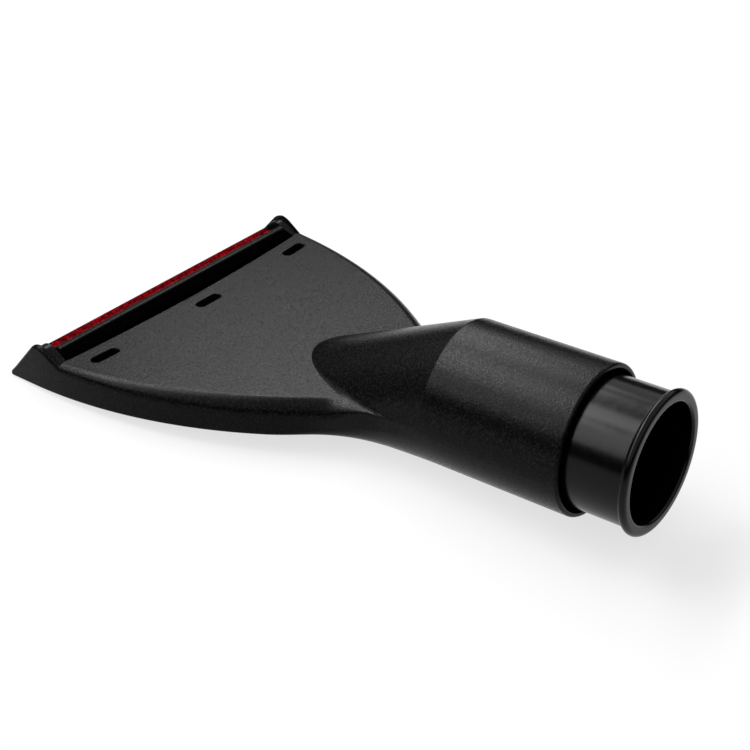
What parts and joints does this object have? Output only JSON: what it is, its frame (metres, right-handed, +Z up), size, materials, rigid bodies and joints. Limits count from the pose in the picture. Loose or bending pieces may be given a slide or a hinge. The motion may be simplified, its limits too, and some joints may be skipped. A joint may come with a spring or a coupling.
{
  "type": "vacuum upholstery nozzle",
  "caption": "Vacuum cleaner upholstery nozzle: flat fan-shaped head with a red lint strip beside the suction slot, small air vents, and a swivelling push-fit socket cuff.",
  "frame": {"origin": "centre of the socket's mouth, on the socket's axis", "axes": "+Y leaves the socket towards the wand, -Y runs to the head's front lip; X runs across the head; +Z is up, with the nozzle at rest on a table"},
  "size_m": [0.117, 0.1986, 0.0484],
  "materials": {
    "satin_black": "moulded, fine grain",
    "gloss_black": "moulded, smooth",
    "red_velour": "short directional pile"
  },
  "bodies": {
    "nozzle": {"body": "satin_black", "strip_bar": "satin_black", "lint_strip": "red_velour"},
    "cuff": {"socket_cuff": "gloss_black"}
  },
  "joints": [
    {"name": "cuff_swivel", "type": "hinge", "parent": "nozzle", "child": "cuff", "pos_m": [0, 0, 0], "axis": [0, 0.9968, 0.0798], "continuous": true}
  ]
}
